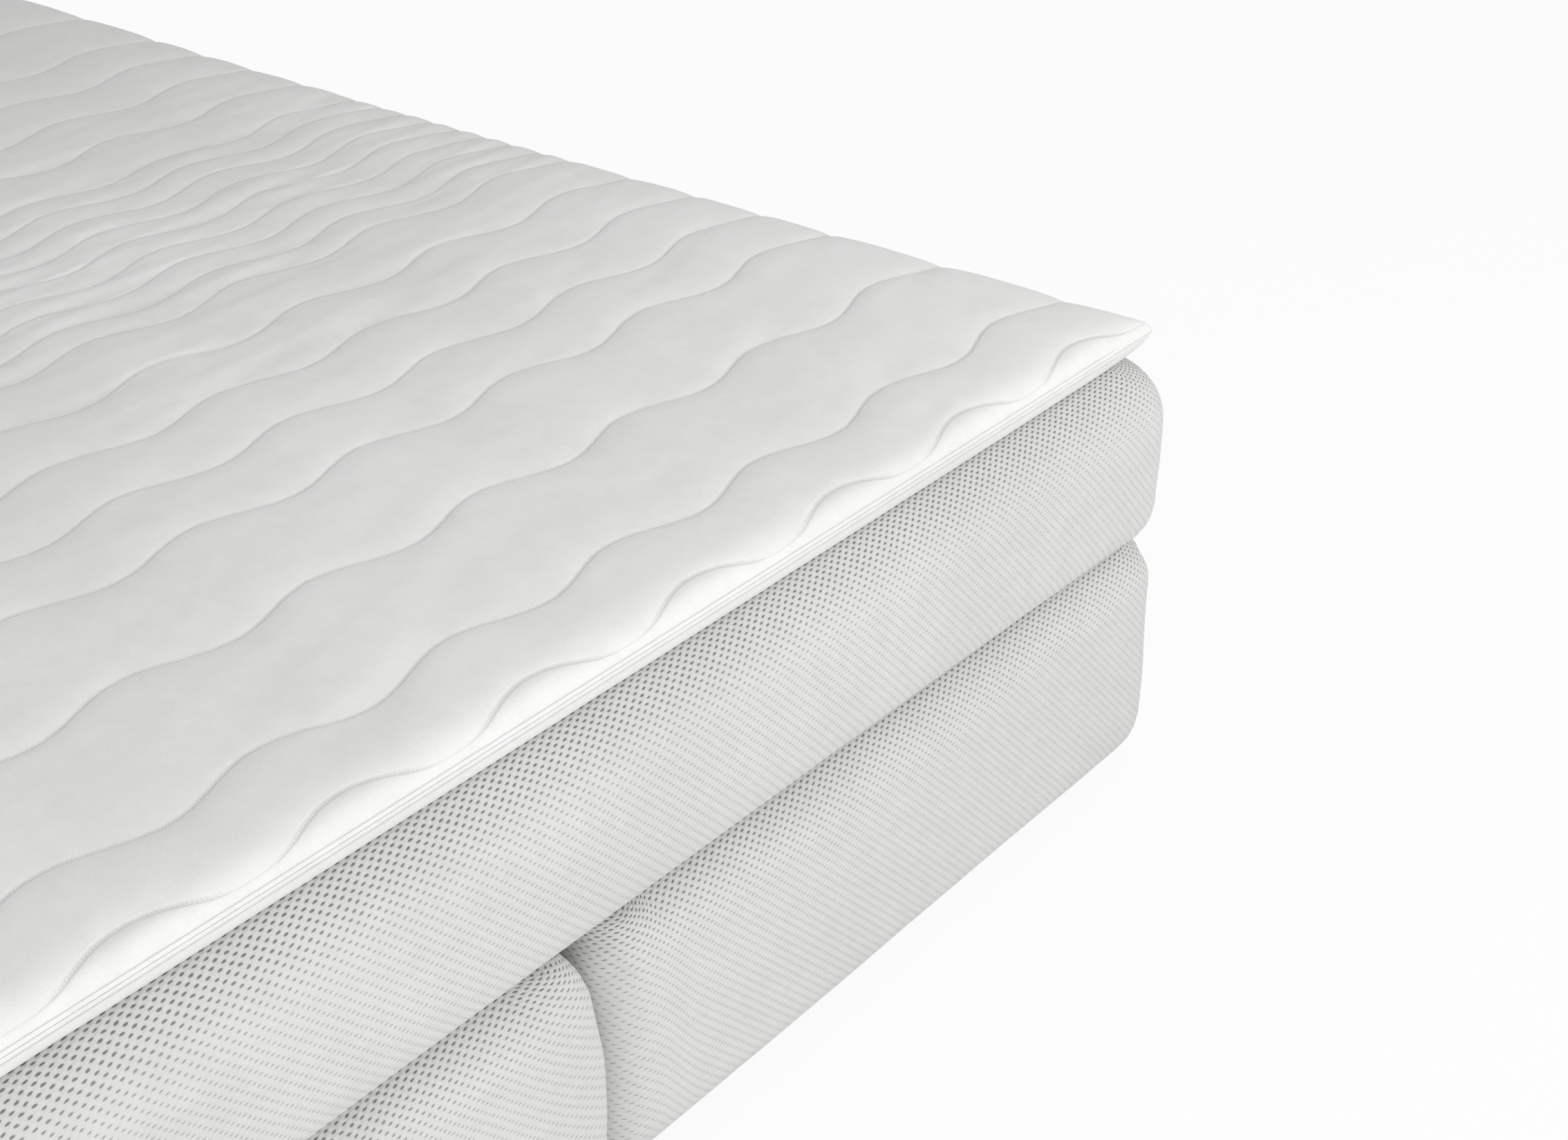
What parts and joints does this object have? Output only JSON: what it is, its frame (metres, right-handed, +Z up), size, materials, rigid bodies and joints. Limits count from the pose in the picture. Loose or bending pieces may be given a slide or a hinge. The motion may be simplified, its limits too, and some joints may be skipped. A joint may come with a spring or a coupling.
{
  "type": "memory foam mattress set",
  "caption": "Double bed mattress set: thin zipped memory foam topper with wave quilting on an upholstered mattress tier and a divided upholstered base box on low glides.",
  "frame": {"origin": "bottom centre of the whole set, on the floor under the line where the two base boxes meet", "axes": "+Z up, +Y towards the head end, -Y towards the foot end, +X towards the right-hand side seen from the foot"},
  "size_m": [1.904, 2.08, 0.562],
  "materials": {
    "quilted_knit": "matte",
    "wadding": "matte",
    "memory_foam": "matte",
    "transition_foam": "matte",
    "support_foam": "matte",
    "padding_foam": "matte",
    "zip_tape": "matte",
    "zip_coil": "satin",
    "thread": "matte",
    "zip_metal": "satin",
    "upholstery": "matte",
    "lining": "matte",
    "timber": "matte",
    "slat_wood": "satin",
    "glide_plastic": "matte",
    "steel": "satin"
  },
  "bodies": {
    "base": {"base_left_cover": "upholstery", "base_left_padding": "padding_foam", "base_left_rail_outer": "timber", "base_left_rail_inner": "timber", "base_left_rail_foot": "timber", "base_left_rail_head": "timber", "base_left_beam": "timber", "base_left_slats": "slat_wood", "base_left_blocks": "timber", "base_left_dust_cover": "lining", "base_left_glides": "glide_plastic", "base_left_glide_screws": "steel", "base_right_cover": "upholstery", "base_right_padding": "padding_foam", "base_right_rail_outer": "timber", "base_right_rail_inner": "timber", "base_right_rail_foot": "timber", "base_right_rail_head": "timber", "base_right_beam": "timber", "base_right_slats": "slat_wood", "base_right_blocks": "timber", "base_right_dust_cover": "lining", "base_right_glides": "glide_plastic", "base_right_glide_screws": "steel", "base_link_foot": "steel", "base_link_head": "steel", "base_link_foot_screws": "steel", "base_link_head_screws": "steel"},
    "mattress": {"mattress_cover": "upholstery", "mattress_underside": "lining", "mattress_wadding": "wadding", "mattress_memory_foam": "memory_foam", "mattress_transition_foam": "transition_foam", "mattress_edge_foam": "support_foam", "mattress_support_core": "support_foam"},
    "topper": {"topper_cover_top": "quilted_knit", "topper_cover_bottom": "quilted_knit", "topper_wadding_top": "wadding", "topper_wadding_bottom": "wadding", "topper_memory_foam": "memory_foam", "topper_zip_tape_upper": "zip_tape", "topper_zip_tape_lower": "zip_tape", "topper_zip_coil_upper": "zip_coil", "topper_zip_coil_lower": "zip_coil", "topper_stitch_upper": "thread", "topper_stitch_lower": "thread", "topper_zip_stop": "zip_metal"},
    "zip_slider": {"zip_slider": "zip_metal"},
    "zip_pull": {"zip_pull": "zip_metal"}
  },
  "joints": [
    {"name": "mattress_lift", "type": "slide", "parent": "base", "child": "mattress", "axis": [0, 0, 1], "range_m": [0, 0.35]},
    {"name": "topper_lift", "type": "slide", "parent": "mattress", "child": "topper", "axis": [0, 0, 1], "range_m": [0, 0.3]},
    {"name": "zip_travel", "type": "slide", "parent": "topper", "child": "zip_slider", "axis": [-1, 0, 0], "range_m": [0, 1.64]},
    {"name": "zip_pull_swing", "type": "hinge", "parent": "zip_slider", "child": "zip_pull", "pos_m": [0.82, 1.0059, 0.537], "axis": [1, 0, 0], "range_deg": [0, 160]}
  ]
}
